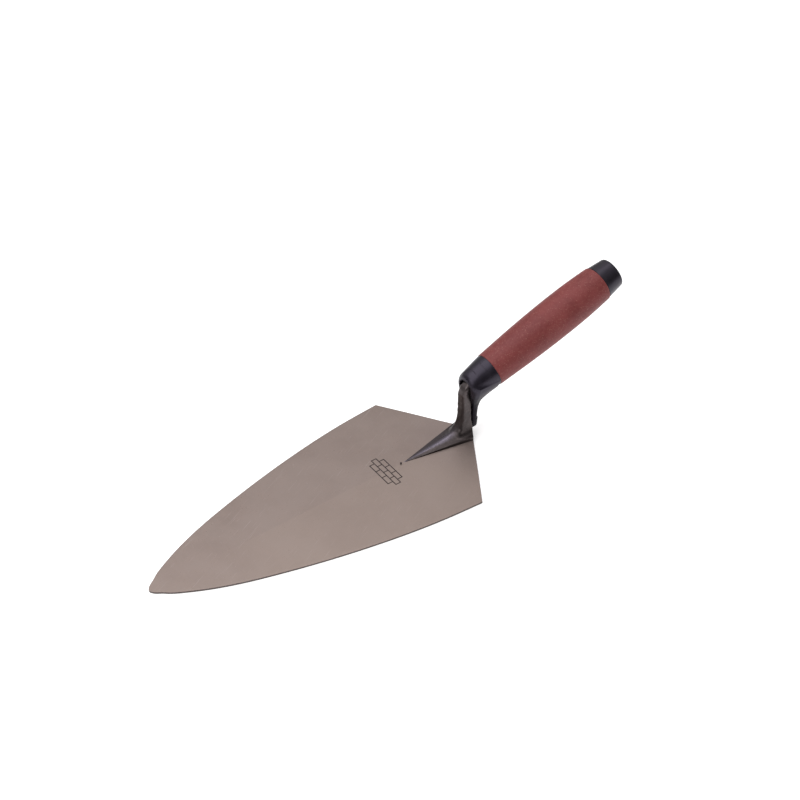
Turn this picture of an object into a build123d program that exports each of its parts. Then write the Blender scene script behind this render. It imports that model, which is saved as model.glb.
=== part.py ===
from build123d import *
import math
import os

os.makedirs("parts", exist_ok=True)

# Brick trowel, Philadelphia pattern, 11 x 5 3/8 in blade with a 6 in two-material handle.
# Frame: the blade lies flat on the XY plane, point towards -X, handle rising towards +X,
# +Z up. The origin is at the middle of the whole tool's footprint, on the resting plane.
# "d" is always the distance from the blade's point along X. "s" is the distance along the
# handle's own axis, measured backwards from the front edge of the grip sleeve.

# ---------------------------------------------------------------- driving dimensions (mm)
blade_length = 279.4          # 11 in, point to heel vertex
blade_half_width = 68.3       # 5 3/8 in across the shoulders
shoulder_d = 236.0            # where the long edges meet the straight back edges
tip_thickness = 1.5           # spine thickness at the point
spine_rise = 0.002            # the spine thickens by this much per mm of length
cross_taper = 0.0075          # the blade thins by this much per mm away from the spine
# half width of the blade at stations along d
edge_points = [
    (1.1, 2.4), (3.0, 4.4), (6.0, 6.5), (10.0, 9.74), (18.0, 14.79), (30.0, 21.1),
    (50.0, 29.75), (80.0, 39.68), (120.0, 50.48), (160.0, 59.05), (200.0, 65.2),
]

heel_apex_d = 214.7           # front point of the raised heel
heel_half_width = 11.8        # half width of the heel where it reaches the back edges
heel_corner_d = 271.9
heel_wall_lean = 0.86         # the wall's top edge stands in to this share of the half width
# raised heel stations: d, height of the side wall, height of the crest
heel_stations = [
    (216.0, 2.05, 2.09), (224.0, 2.50, 2.70), (232.0, 2.90, 3.35), (241.0, 3.35, 4.15), (250.0, 3.80, 5.30),
    (257.0, 4.15, 6.70), (262.5, 4.45, 8.50), (268.0, 4.70, 10.2), (274.0, 4.90, 10.2), (280.5, 5.00, 8.6),
]

motif_d = 198.0               # middle of the engraved brick motif
motif_brick = 8.0
motif_course = 4.2
motif_line = 0.55
motif_depth = 0.15

shank_front_d = 267.2         # front face of the upright shank
shank_rear_d = 276.4          # back face of the upright shank
shank_half_width = 4.45
shank_corner = 3.1
# flare of the shank's foot: height, front, rear, half width, corner
shank_stations = [
    (8.6, 262.6, 277.4, 5.7, 3.3), (11.5, 264.6, 276.8, 5.15, 3.2), (15.0, 265.8, 276.5, 4.75, 3.15),
    (20.0, 266.6, 276.4, 4.5, 3.1),
]
bend_radius = 7.4             # centre line radius of the forged bend into the handle
tang_lift = 0.6                # the bend leaves a little above the handle's axis
tang_end_s = 76.0             # the tang ends on the handle's axis
tang_end_size = 5.0

handle_pitch = 18.11          # the handle rises this many degrees towards the butt
handle_front_d = 295.5        # centre of the sleeve's front edge
handle_front_z = 52.1
sleeve_length = 110.6
sleeve_wall = 2.6
# outer radius of the barrel-shaped grip at stations along s
grip_radii = [
    (0.0, 13.70), (15.0, 14.45), (30.0, 15.14), (45.0, 15.65), (60.0, 15.93), (72.0, 16.00),
    (84.0, 15.85), (95.0, 15.46), (103.0, 15.02), (110.6, 14.50),
]
collar_radii = [(0.0, 13.45), (-6.0, 12.80), (-13.0, 11.90), (-20.0, 11.00), (-32.0, 9.60)]
mouth_plane_d = 273.0         # upright plane of the hood's mouth
mouth_bevel = 2.3             # broad bevel around the hood's mouth
mouth_half_width = 6.5
mouth_top_z = 52.2
cap_length = 15.1
cap_front_radius = 13.95
cap_end_radius = 12.25
cap_end_round = 1.1
spigot_radius = 8.0
spigot_length = 10.5

pitch = math.radians(handle_pitch)
cos_p, sin_p = math.cos(pitch), math.sin(pitch)
total_length = (
    handle_front_d
    + (sleeve_length + cap_length - cap_end_round) * cos_p
    + (cap_end_radius - cap_end_round) * sin_p
    + cap_end_round
)
tip_x = -total_length / 2


def X(d):
    return tip_x + d


def on_axis(s, lift=0.0):
    """Point at s along the handle axis, lifted square to it in the XZ plane."""
    return Vector(
        X(handle_front_d) + s * cos_p - lift * sin_p, 0, handle_front_z + s * sin_p + lift * cos_p
    )


# side-view plane of the handle: local x runs backwards along the axis, local y is "up"
handle_side = Plane(origin=on_axis(0), x_dir=(cos_p, 0, sin_p), z_dir=(0, -1, 0))
handle_axis = Axis(on_axis(0), (cos_p, 0, sin_p))


def cross_plane(s, lift=0.0, turn=0.0):
    """Plane square to the handle axis at s; local x is +Y. turn tips it towards the front."""
    a = pitch + math.radians(turn)
    return Plane(origin=on_axis(s, lift), x_dir=(0, 1, 0), z_dir=(math.cos(a), 0, math.sin(a)))


# ================================================================ forged blade, heel, shank, tang
# ground blade plate: outline cut square, top face ground as two flats meeting on the spine
with BuildPart() as ground_plate:
    with BuildSketch(Plane.XY):
        with BuildLine():
            Spline(
                (X(shoulder_d), blade_half_width), *[(X(d), w) for d, w in reversed(edge_points)],
                (X(0), 0), *[(X(d), -w) for d, w in edge_points], (X(shoulder_d), -blade_half_width),
            )
            Line((X(shoulder_d), blade_half_width), (X(blade_length), 0))
            Line((X(shoulder_d), -blade_half_width), (X(blade_length), 0))
        make_face()
    extrude(amount=12)
    with BuildSketch(Plane(origin=(X(-5), 0, 0), x_dir=(0, 1, 0), z_dir=(1, 0, 0))):
        edge_z = tip_thickness - 5 * spine_rise
        with BuildLine():
            Polyline(
                (-90, -8), (90, -8), (90, edge_z - 90 * cross_taper), (0, edge_z),
                (-90, edge_z - 90 * cross_taper), close=True,
            )
        make_face()
    extrude(amount=300, dir=(1, 0, spine_rise), mode=Mode.INTERSECT)

# planform of the back of the blade, which also trims the heel flush with the back edges
with BuildPart() as back_trim:
    with BuildSketch(Plane.XY):
        with BuildLine():
            Polyline(
                (X(200), blade_half_width), (X(shoulder_d), blade_half_width), (X(blade_length), 0),
                (X(shoulder_d), -blade_half_width), (X(200), -blade_half_width), close=True,
            )
        make_face()
    extrude(amount=60)

# raised triangular heel: low side walls, hollow flanks, rounded crest
with BuildPart() as raised_heel:
    for d, wall_z, crest_z in heel_stations:
        w = heel_half_width * (d - heel_apex_d) / (heel_corner_d - heel_apex_d)
        rise = crest_z - wall_z
        with BuildSketch(Plane(origin=(X(d), 0, 0), x_dir=(0, 1, 0), z_dir=(1, 0, 0))):
            with BuildLine():
                Spline(
                    (-heel_wall_lean * w, wall_z), (-0.58 * w, wall_z + 0.14 * rise),
                    (-0.26 * w, wall_z + 0.66 * rise), (0, crest_z),
                    (0.26 * w, wall_z + 0.66 * rise), (0.58 * w, wall_z + 0.14 * rise),
                    (heel_wall_lean * w, wall_z),
                )
                Polyline((heel_wall_lean * w, wall_z), (w, 0.4), (-w, 0.4), (-heel_wall_lean * w, wall_z))
            make_face()
    loft()
    add(back_trim.part, mode=Mode.INTERSECT)

# upright shank, flaring into the heel
shank_mid_d = (shank_front_d + shank_rear_d) / 2
axis_crossing_z = tang_lift + handle_front_z + (shank_mid_d - handle_front_d) * math.tan(pitch)
bend_start_z = axis_crossing_z - bend_radius * math.tan((math.pi / 2 - pitch) / 2)
with BuildPart() as shank_flare:
    for z, front, rear, half, corner in shank_stations:
        with BuildSketch(Plane(origin=(X((front + rear) / 2), 0, z), x_dir=(1, 0, 0), z_dir=(0, 0, 1))):
            RectangleRounded(rear - front, 2 * half, corner)
    loft()
with BuildPart() as shank_root:
    z, front, rear, half, corner = shank_stations[0]
    with BuildSketch(Plane(origin=(X((front + rear) / 2), 0, 2), x_dir=(1, 0, 0), z_dir=(0, 0, 1))):
        RectangleRounded(rear - front, 2 * half, corner)
    extrude(amount=z - 2)
with BuildPart() as shank_upright:
    z, front, rear, half, corner = shank_stations[-1]
    with BuildSketch(Plane(origin=(X((front + rear) / 2), 0, z), x_dir=(1, 0, 0), z_dir=(0, 0, 1))):
        RectangleRounded(rear - front, 2 * half, corner)
    with BuildSketch(Plane(origin=(X(shank_mid_d), 0, bend_start_z), x_dir=(1, 0, 0), z_dir=(0, 0, 1))):
        RectangleRounded(shank_rear_d - shank_front_d, 2 * shank_half_width, shank_corner)
    loft()
with BuildPart() as trimmed_shank:
    add(shank_flare.part)
    add(shank_root.part)
    add(back_trim.part, mode=Mode.INTERSECT)

# forged bend and the tapered tang inside the handle
tang_end = on_axis(tang_end_s)
bend_centre = Vector(X(shank_mid_d + bend_radius), 0, bend_start_z)
reach = math.hypot(tang_end.X - bend_centre.X, tang_end.Z - bend_centre.Z)
to_end = math.atan2(tang_end.Z - bend_centre.Z, tang_end.X - bend_centre.X)
bend_exit = to_end + math.acos(bend_radius / reach)          # polar angle of the tangent point
bend_turn = 180 - math.degrees(bend_exit)
bend_out = bend_centre + Vector(
    bend_radius * math.cos(bend_exit), 0, bend_radius * math.sin(bend_exit)
)
tang_dir = (tang_end - bend_out).normalized()
with BuildPart() as forged_bend:
    with BuildSketch(Plane(origin=(X(shank_mid_d), 0, bend_start_z), x_dir=(1, 0, 0), z_dir=(0, 0, 1))):
        RectangleRounded(shank_rear_d - shank_front_d, 2 * shank_half_width, shank_corner)
    revolve(axis=Axis(bend_centre, (0, 1, 0)), revolution_arc=bend_turn)
with BuildPart() as tapered_tang:
    with BuildSketch(Plane(origin=bend_out, x_dir=(0, 1, 0), z_dir=tang_dir)):
        RectangleRounded(2 * shank_half_width, shank_rear_d - shank_front_d, shank_corner)
    with BuildSketch(Plane(origin=tang_end, x_dir=(0, 1, 0), z_dir=tang_dir)):
        RectangleRounded(tang_end_size, tang_end_size, 1.6)
    loft()

with BuildPart() as forged_blade:
    add(ground_plate.part)
    add(raised_heel.part)
    add(trimmed_shank.part)
    add(shank_upright.part)
    add(forged_bend.part)
    add(tapered_tang.part)
    # centre-punch dot just ahead of the heel's apex
    with Locations((X(211.9), 0, tip_thickness + spine_rise * 211.9 + 0.15)):
        Sphere(0.75, mode=Mode.SUBTRACT)
    # shallow engraved running-bond brick motif, on each of the two ground flats
    for side in (1, -1):
        with BuildSketch(
            Plane(
                origin=(X(motif_d), 0, tip_thickness + spine_rise * motif_d),
                x_dir=(1, 0, spine_rise), z_dir=(-spine_rise, side * cross_taper, 1),
            )
        ):
            for at, reach in [(-1.5, 1.5), (-0.5, 2.0), (0.5, 2.0), (1.5, 1.5)]:
                with Locations((at * motif_course, side * reach * motif_brick / 2)):
                    Rectangle(motif_line, reach * motif_brick)
            for course, joints in [(-1, (0.5, 1.5)), (0, (0, 1, 2)), (1, (0.5, 1.5))]:
                for j in joints:
                    with Locations((course * motif_course, side * j * motif_brick)):
                        Rectangle(motif_course, motif_line)
        extrude(amount=-motif_depth, mode=Mode.SUBTRACT)
forged_blade.part.label = "forged_blade"

# ================================================================ handle core
# one moulding: flared collar, hood and finger guard in front, seat for the sleeve, spigot behind
seat_radii = [(s, r - sleeve_wall) for s, r in grip_radii]
with BuildPart() as core_turned:
    with BuildSketch(handle_side):
        with BuildLine():
            Spline(*[(s, r) for s, r in reversed(collar_radii)])
            Line((0, collar_radii[0][1]), (0, seat_radii[0][1]))
            Spline(*seat_radii)
            Polyline(
                seat_radii[-1], (sleeve_length, spigot_radius),
                (sleeve_length + spigot_length, spigot_radius), (sleeve_length + spigot_length, 0),
                (collar_radii[-1][0], 0), (collar_radii[-1][0], collar_radii[-1][1]),
            )
        make_face()
    revolve(axis=handle_axis)

# hood mouth: an upright plane with a broad bevel around its rim
with BuildPart() as hood:
    add(core_turned.part)
    split(bisect_by=Plane(origin=(X(mouth_plane_d), 0, 0), x_dir=(0, 1, 0), z_dir=(1, 0, 0)), keep=Keep.TOP)
    mouth_face = hood.faces().sort_by(Axis.X)[0]
    chamfer(mouth_face.edges(), length=mouth_bevel)

# finger guard: a tongue behind the shank that sweeps up into the collar's underside
guard_pivot_d, guard_pivot_z = 303.0, 15.0
with BuildPart() as finger_guard:
    # straight lower part: height, rear face, half width, corner
    for z, rear, half, corner in [(9.2, 281.3, 4.2, 2.1), (14.0, 281.8, 4.8, 2.4)]:
        with BuildSketch(
            Plane(origin=(X((shank_rear_d + rear) / 2), 0, z), x_dir=(1, 0, 0), z_dir=(0, 0, 1))
        ):
            RectangleRounded(rear - shank_rear_d, 2 * half, corner)
    # fan of sections about the finger side: angle, inner radius, outer radius, half width, corner
    for angle, inner, outer, half, corner in [
        (14.0, 21.9, 27.42, 5.0, 2.5), (30.0, 23.6, 30.72, 5.5, 3.2), (44.0, 24.6, 36.6, 6.3, 4.4),
        (58.0, 24.4, 39.0, 7.1, 5.5), (71.89, 24.8, 38.6, 7.5, 6.4),
    ]:
        a = math.radians(angle)
        out = Vector(-math.cos(a), 0, math.sin(a))
        mid = Vector(X(guard_pivot_d), 0, guard_pivot_z) + out * ((inner + outer) / 2)
        with BuildSketch(
            Plane(origin=mid, x_dir=(math.cos(a), 0, -math.sin(a)), z_dir=(math.sin(a), 0, math.cos(a)))
        ):
            RectangleRounded(outer - inner, 2 * half, corner)
    loft(ruled=False)
with BuildPart() as guard_tip:
    for z, rear, half, corner in [(6.6, 279.5, 2.6, 1.3), (7.3, 280.8, 3.7, 1.8), (9.2, 281.3, 4.2, 2.1)]:
        with BuildSketch(
            Plane(origin=(X((shank_rear_d + rear) / 2), 0, z), x_dir=(1, 0, 0), z_dir=(0, 0, 1))
        ):
            RectangleRounded(rear - shank_rear_d, 2 * half, corner)
    loft(ruled=True)

# socket for the bend: a clear arch around the shank where it enters the hood
with BuildPart() as mouth_arch:
    with BuildSketch(Plane(origin=(X(shank_rear_d + 4.2), 0, mouth_top_z - mouth_half_width), x_dir=(0, 1, 0), z_dir=(-1, 0, 0))):
        Circle(mouth_half_width)
        with Locations((0, 7)):
            Rectangle(2 * mouth_half_width, 14)
    extrude(amount=20)

with BuildPart() as handle_core:
    add(hood.part)
    add(finger_guard.part)
    add(guard_tip.part)
    add(mouth_arch.part, mode=Mode.SUBTRACT)
    add(forged_blade.part, mode=Mode.SUBTRACT)
    # mould witness lines on the collar: one short arc and one short line meeting the sleeve
    with BuildSketch(Plane(origin=on_axis(0), x_dir=(cos_p, 0, sin_p), z_dir=(0, -1, 0))):
        with Locations((-6.0, 12.80)):
            Rectangle(0.25, 0.36)
    revolve(axis=handle_axis, revolution_arc=44, mode=Mode.SUBTRACT)
    with BuildSketch(handle_side):
        with BuildLine():
            Polyline((-6.1, 12.61), (0, 13.27), (0, 14.4), (-6.1, 14.4), close=True)
        make_face()
    extrude(amount=0.13, both=True, mode=Mode.SUBTRACT)
handle_core.part.label = "handle_core"

# ================================================================ grip sleeve
with BuildPart() as grip_sleeve:
    with BuildSketch(handle_side):
        with BuildLine():
            Spline(*grip_radii)
            Line(grip_radii[-1], (sleeve_length, seat_radii[-1][1]))
            Spline(*seat_radii)
            Line((0, seat_radii[0][1]), grip_radii[0])
        make_face()
    revolve(axis=handle_axis)
    rear_rim = grip_sleeve.edges().filter_by(GeomType.CIRCLE).sort_by(SortBy.RADIUS)
    rear_rim = [e for e in rear_rim if abs(e.radius - grip_radii[-1][1]) < 0.01]
    fillet(rear_rim, radius=1.3)
    # round gate mark near the butt, on the upper side, 10 degrees off the top
    gate = cross_plane(103.8)
    lean = math.radians(10.3)
    normal = Vector(-sin_p * math.cos(lean), -math.sin(lean), cos_p * math.cos(lean))
    gate_at = on_axis(103.8) + normal * 14.60
    with BuildSketch(Plane(origin=gate_at, x_dir=(cos_p, 0, sin_p), z_dir=normal)):
        Circle(1.8)
        Circle(1.25, mode=Mode.SUBTRACT)
    extrude(amount=2, mode=Mode.SUBTRACT)
grip_sleeve.part.label = "grip_sleeve"

# ================================================================ end cap
with BuildPart() as end_cap:
    with BuildSketch(handle_side):
        with BuildLine():
            Polyline(
                (sleeve_length, spigot_radius), (sleeve_length, cap_front_radius),
                (sleeve_length + cap_length, cap_end_radius), (sleeve_length + cap_length, 0),
                (sleeve_length + spigot_length, 0), (sleeve_length + spigot_length, spigot_radius),
                close=True,
            )
        make_face()
    revolve(axis=handle_axis)
    end_rim = [
        e for e in end_cap.edges().filter_by(GeomType.CIRCLE) if abs(e.radius - cap_end_radius) < 0.01
    ]
    fillet(end_rim, radius=cap_end_round)
end_cap.part.label = "end_cap"

for piece in (forged_blade, handle_core, grip_sleeve, end_cap):
    box = piece.part.bounding_box()
    print(
        piece.part.label, "solids", len(piece.part.solids()), "volume", round(piece.part.volume, 1),
        "box", [round(v, 2) for v in (*box.min, *box.max)],
    )
print("tip_x", round(tip_x, 3), "bend turn", round(bend_turn, 2))

export_step(forged_blade.part, "parts/forged_blade.step")
export_step(handle_core.part, "parts/handle_core.step")
export_step(grip_sleeve.part, "parts/grip_sleeve.step")
export_step(end_cap.part, "parts/end_cap.step")
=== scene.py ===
import bpy
import bmesh
import math
import numpy as np
from mathutils import Matrix, Vector


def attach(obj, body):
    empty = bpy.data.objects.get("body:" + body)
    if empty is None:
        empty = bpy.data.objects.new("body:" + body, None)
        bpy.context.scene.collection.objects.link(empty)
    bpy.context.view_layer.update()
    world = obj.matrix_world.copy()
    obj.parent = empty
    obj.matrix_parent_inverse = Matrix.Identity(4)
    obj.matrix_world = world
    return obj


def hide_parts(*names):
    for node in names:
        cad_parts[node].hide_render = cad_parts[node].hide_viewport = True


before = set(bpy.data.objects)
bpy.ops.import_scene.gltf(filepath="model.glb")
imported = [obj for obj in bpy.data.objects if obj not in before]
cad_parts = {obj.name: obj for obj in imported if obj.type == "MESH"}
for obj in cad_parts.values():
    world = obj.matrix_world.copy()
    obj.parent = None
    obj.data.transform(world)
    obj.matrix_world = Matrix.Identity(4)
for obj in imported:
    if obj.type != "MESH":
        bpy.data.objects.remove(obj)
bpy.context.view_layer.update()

MM = 0.001
scene = bpy.context.scene

# ------------------------------------------------------------------ the tool's own dimensions (mm)
BLADE_L = 279.4
BLADE_W = 68.3
SHOULDER = 236.0
EDGE = [(0.0, 0.0), (1.1, 2.4), (3.0, 4.4), (6.0, 6.5), (10.0, 9.74), (18.0, 14.79), (30.0, 21.1),
        (50.0, 29.75), (80.0, 39.68), (120.0, 50.48), (160.0, 59.05), (200.0, 65.2), (236.0, 68.3)]
PITCH = math.radians(18.11)
CP, SP = math.cos(PITCH), math.sin(PITCH)
FRONT_D, FRONT_Z = 295.5, 52.1
SLEEVE_L, CAP_L = 110.6, 15.1
CAP_FRONT_R, CAP_END_R, CAP_ROUND = 13.95, 12.25, 1.1
TOTAL = FRONT_D + (SLEEVE_L + CAP_L - CAP_ROUND) * CP + (CAP_END_R - CAP_ROUND) * SP + CAP_ROUND
TIP_X = -TOTAL / 2


# ------------------------------------------------------------------ camera
def make_camera():
    az, el, roll = -0.60064005, 0.69809274, -0.02938710
    back = Vector((math.sin(az) * math.cos(el), -math.cos(az) * math.cos(el), math.sin(el)))
    right0 = Vector((math.cos(az), math.sin(az), 0.0))
    up0 = back.cross(right0)
    right = right0 * math.cos(roll) + up0 * math.sin(roll)
    up = up0 * math.cos(roll) - right0 * math.sin(roll)
    target = Vector((255.886 + TIP_X, 62.995, 0.0)) * MM
    location = target + back * (1080.56 * MM)
    data = bpy.data.cameras.new("photo_camera")
    data.sensor_fit = "HORIZONTAL"
    data.sensor_width = 36.0
    data.lens = 1358.10 * 36.0 / 800.0
    data.clip_start = 0.01
    data.clip_end = 20.0
    cam = bpy.data.objects.new("photo_camera", data)
    m = Matrix((
        (right.x, up.x, back.x, location.x),
        (right.y, up.y, back.y, location.y),
        (right.z, up.z, back.z, location.z),
        (0, 0, 0, 1),
    ))
    cam.matrix_world = m
    scene.collection.objects.link(cam)
    scene.camera = cam


make_camera()

scene.view_settings.view_transform = "Standard"


# ------------------------------------------------------------------ floor, world, lights
def make_stage():
    mesh = bpy.data.meshes.new("studio_floor")
    r = 3.0
    z = -0.0002
    mesh.from_pydata([(-r, -r, z), (r, -r, z), (r, r, z), (-r, r, z)], [], [(0, 1, 2, 3)])
    floor = bpy.data.objects.new("studio_floor", mesh)
    scene.collection.objects.link(floor)
    mat = bpy.data.materials.new("studio_floor")
    mat.use_nodes = True
    nt = mat.node_tree
    bsdf = nt.nodes["Principled BSDF"]
    bsdf.inputs["Roughness"].default_value = 0.9
    bsdf.inputs["Base Color"].default_value = (0.90, 0.90, 0.90, 1)
    bsdf.inputs["Specular IOR Level"].default_value = 0.2
    bsdf.inputs["Emission Color"].default_value = (1, 1, 1, 1)
    bsdf.inputs["Emission Strength"].default_value = 0.50
    floor.data.materials.append(mat)

    world = bpy.data.worlds.new("studio")
    scene.world = world
    world.use_nodes = True
    wn = world.node_tree
    bg = wn.nodes["Background"]
    # dim towards the viewer's side and the horizon, bright above and behind the tool
    tc = wn.nodes.new("ShaderNodeTexCoord")

    def dot(v):
        n = wn.nodes.new("ShaderNodeVectorMath")
        n.operation = "DOT_PRODUCT"
        wn.links.new(tc.outputs["Generated"], n.inputs[0])
        n.inputs[1].default_value = v
        return n.outputs["Value"]

    def ramp(value, x0, x1, y0, y1):
        n = wn.nodes.new("ShaderNodeMapRange")
        n.interpolation_type = "SMOOTHSTEP"
        wn.links.new(value, n.inputs["Value"])
        for k, v in zip(("From Min", "From Max", "To Min", "To Max"), (x0, x1, y0, y1)):
            n.inputs[k].default_value = v
        return n.outputs["Result"]

    def join(op, p, q):
        n = wn.nodes.new("ShaderNodeMath")
        n.operation = op
        for socket, v in zip(n.inputs, (p, q)):
            if isinstance(v, float):
                socket.default_value = v
            else:
                wn.links.new(v, socket)
        return n.outputs[0]

    up = dot((0, 0, 1))
    rear = ramp(dot((0.56, 0.83, 0.0)), -0.15, 0.55, 0.0, 1.0)
    sky = ramp(up, 0.30, 0.95, 0.0, 0.34)
    wall = join("MULTIPLY", rear, ramp(up, 0.05, 0.40, 0.0, 0.52))
    wn.links.new(join("ADD", join("ADD", sky, wall), 0.04), bg.inputs["Strength"])
    bg.inputs["Color"].default_value = (1.0, 0.99, 1.0, 1)

    def area(name, loc, target, size, power, color=(1, 1, 1)):
        data = bpy.data.lights.new(name, "AREA")
        data.shape = "RECTANGLE"
        data.size, data.size_y = size
        data.energy = power
        data.color = color
        o = bpy.data.objects.new(name, data)
        o.location = loc
        d = Vector(target) - Vector(loc)
        o.rotation_euler = d.to_track_quat("-Z", "Y").to_euler()
        scene.collection.objects.link(o)
        return o

    area("softbox_top", (-0.25, 0.15, 1.35), (0, 0, 0), (1.5, 1.5), 13.5)
    area("softbox_left", (-1.2, -0.25, 0.9), (0, 0, 0.03), (0.9, 0.9), 4.5)


make_stage()



# ------------------------------------------------------------------ mesh helpers (lengths in mm until the object is made)
def X(d):
    return TIP_X + d


def on_axis(s, lift=0.0):
    return np.array([X(FRONT_D) + s * CP - lift * SP, 0.0, FRONT_Z + s * SP + lift * CP])


def rise(t, a, b):
    t = np.clip((np.asarray(t, float) - a) / (b - a), 0, 1)
    return t * t * (3 - 2 * t)


def table(rows, v):
    """Column values against the first column, joined by a smooth curve that never overshoots."""
    rows = np.array(rows, float)
    x, y = rows[:, 0], rows[:, 1:]
    if x[0] > x[-1]:
        x, y = x[::-1], y[::-1]
    slope = np.diff(y, axis=0) / np.diff(x)[:, None]
    m = np.zeros_like(y)
    m[0], m[-1] = slope[0], slope[-1]
    for i in range(1, len(x) - 1):
        a, b = slope[i - 1], slope[i]
        same = a * b > 0
        m[i] = np.where(same, 2 * a * b / np.where(same, a + b, 1), 0)
    v = np.asarray(v, float)
    k = np.clip(np.searchsorted(x, v.ravel(), side="right") - 1, 0, len(x) - 2)
    h = (x[k + 1] - x[k])[:, None]
    t = np.clip((v.ravel()[:, None] - x[k][:, None]) / h, 0, 1)
    out = ((2 * t ** 3 - 3 * t ** 2 + 1) * y[k] + (t ** 3 - 2 * t ** 2 + t) * h * m[k]
           + (-2 * t ** 3 + 3 * t ** 2) * y[k + 1] + (t ** 3 - t ** 2) * h * m[k + 1])
    return [out[:, c].reshape(v.shape) for c in range(out.shape[1])]


def link_mesh(name, verts, faces, mats=None):
    mesh = bpy.data.meshes.new(name)
    mesh.from_pydata((np.asarray(verts, float) * MM).tolist(), [], faces)
    if mats is not None:
        mesh.polygons.foreach_set("material_index", mats)
    bm = bmesh.new()
    bm.from_mesh(mesh)
    bmesh.ops.remove_doubles(bm, verts=bm.verts, dist=2e-7)
    bmesh.ops.recalc_face_normals(bm, faces=bm.faces)
    bm.to_mesh(mesh)
    bm.free()
    obj = bpy.data.objects.new(name, mesh)
    scene.collection.objects.link(obj)
    return obj


def shade(obj, angle=40):
    for p in obj.data.polygons:
        p.use_smooth = True
    obj.data.set_sharp_from_angle(angle=math.radians(angle))
    return obj


# ------------------------------------------------------------------ solids from distance fields
def smax(a, b, k):
    h = np.maximum(k - np.abs(a - b), 0) / k
    return np.maximum(a, b) + h * h * k / 4


def smin(a, b, k):
    return -smax(-a, -b, k)


def rounded_box(x, y, hx, hy, r):
    qx, qy = np.abs(x) - (hx - r), np.abs(y) - (hy - r)
    return np.hypot(np.maximum(qx, 0), np.maximum(qy, 0)) + np.minimum(np.maximum(qx, qy), 0) - r


def skin(name, field, low, high, h, rounds=2):
    """Closed quad mesh on the zero level of a field, by surface nets, pulled onto the surface."""
    n = [int(math.ceil((b - a) / h)) + 1 for a, b in zip(low, high)]
    ax = [a + h * np.arange(c) for a, c in zip(low, n)]
    f = np.empty(n)
    for i in range(0, n[0], 16):
        g = np.meshgrid(ax[0][i:i + 16], ax[1], ax[2], indexing="ij")
        f[i:i + 16] = field(*g)
    f[[0, -1]], f[:, [0, -1]], f[:, :, [0, -1]] = 1, 1, 1
    neg = f < 0
    corners = [(i, j, k) for i in (0, 1) for j in (0, 1) for k in (0, 1)]

    def part(a, c):
        return a[c[0]:c[0] + n[0] - 1, c[1]:c[1] + n[1] - 1, c[2]:c[2] + n[2] - 1]

    inside = sum(part(neg, c).astype(np.int8) for c in corners)
    active = (inside > 0) & (inside < 8)
    cell = np.argwhere(active)
    index = -np.ones(active.shape, np.int64)
    index[active] = np.arange(len(cell))
    acc = np.zeros((len(cell), 3))
    cnt = np.zeros(len(cell))
    values = {c: part(f, c)[active] for c in corners}
    for c in corners:
        for a in range(3):
            if c[a] == 0:
                e = tuple(1 if q == a else c[q] for q in range(3))
                u, v = values[c], values[e]
                cross = (u < 0) != (v < 0)
                t = np.where(cross, u / np.where(cross, u - v, 1), 0)
                p = np.tile(np.array(c, float), (len(cell), 1))
                p[:, a] += t
                acc += p * cross[:, None]
                cnt += cross
    verts = np.array(low) + h * (cell + acc / cnt[:, None])
    faces = []
    for a in range(3):
        b, c = (a + 1) % 3, (a + 2) % 3
        lo = [slice(1, n[q] - 1) for q in range(3)]
        hi = list(lo)
        lo[a], hi[a] = slice(0, n[a] - 1), slice(1, n[a])
        u, v = neg[tuple(lo)], neg[tuple(hi)]
        at = np.argwhere(u != v)
        flip = u[tuple(at.T)]
        at += [0 if q == a else 1 for q in range(3)]
        quad = []
        for db, dc in ((-1, -1), (0, -1), (0, 0), (-1, 0)):
            q = at.copy()
            q[:, b] += db
            q[:, c] += dc
            quad.append(index[q[:, 0], q[:, 1], q[:, 2]])
        quad = np.stack(quad, 1)
        quad[~flip] = quad[~flip][:, ::-1]
        faces.append(quad)
    faces = np.concatenate(faces)
    for _ in range(rounds):
        e = 0.04
        g = np.stack([(field(*(verts + e * d).T) - field(*(verts - e * d).T)) / (2 * e) for d in np.eye(3)], 1)
        step = field(*verts.T)[:, None] * g / np.maximum((g * g).sum(1), 0.05)[:, None]
        length = np.linalg.norm(step, axis=1)[:, None]
        verts -= step * np.minimum(1, 0.35 * h / np.maximum(length, 1e-9))
    mesh = bpy.data.meshes.new(name)
    mesh.vertices.add(len(verts))
    mesh.vertices.foreach_set("co", (verts * MM).ravel())
    mesh.loops.add(faces.size)
    mesh.loops.foreach_set("vertex_index", faces.ravel())
    mesh.polygons.add(len(faces))
    mesh.polygons.foreach_set("loop_start", np.arange(0, faces.size, 4))
    mesh.polygons.foreach_set("loop_total", np.full(len(faces), 4))
    mesh.update(calc_edges=True)
    mesh.validate()
    obj = bpy.data.objects.new(name, mesh)
    scene.collection.objects.link(obj)
    return obj


# ------------------------------------------------------------------ ground blade plate
def top_z(d, y):
    r = 1.0 + 34.0 * (1 - rise(d, 20, 110))
    return 1.5 + 0.002 * d - 0.0075 * (np.sqrt(y * y + r * r) - r)


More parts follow.
